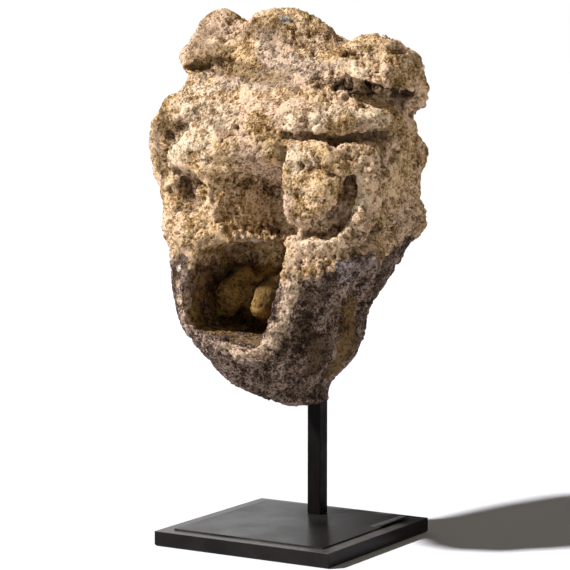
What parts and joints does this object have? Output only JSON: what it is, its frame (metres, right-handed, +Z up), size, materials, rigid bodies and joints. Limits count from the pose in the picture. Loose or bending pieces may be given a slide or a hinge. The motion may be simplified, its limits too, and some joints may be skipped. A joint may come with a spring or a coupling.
{
  "type": "gargoyle head",
  "caption": "Weathered sandstone gargoyle head with an open spout mouth, bossed eye and tufted crown, held on a square bar above a square black base plate.",
  "frame": {"origin": "centre of the base plate's underside, at floor level", "axes": "+Z up, the face looks along -Y, +X is to the right of someone facing it; the plate's sides lie along X and Y"},
  "size_m": [0.2633, 0.2398, 0.53],
  "materials": {
    "sandstone": "rough, weathered, with dark patina on the jaw and in the hollows",
    "bar_paint": "black, satin",
    "plate_paint": "black, satin"
  },
  "bodies": {
    "root": {"stone_head": "sandstone", "support_bar": "bar_paint", "top_sheet": "plate_paint", "base_plate": "plate_paint"}
  },
  "joints": []
}
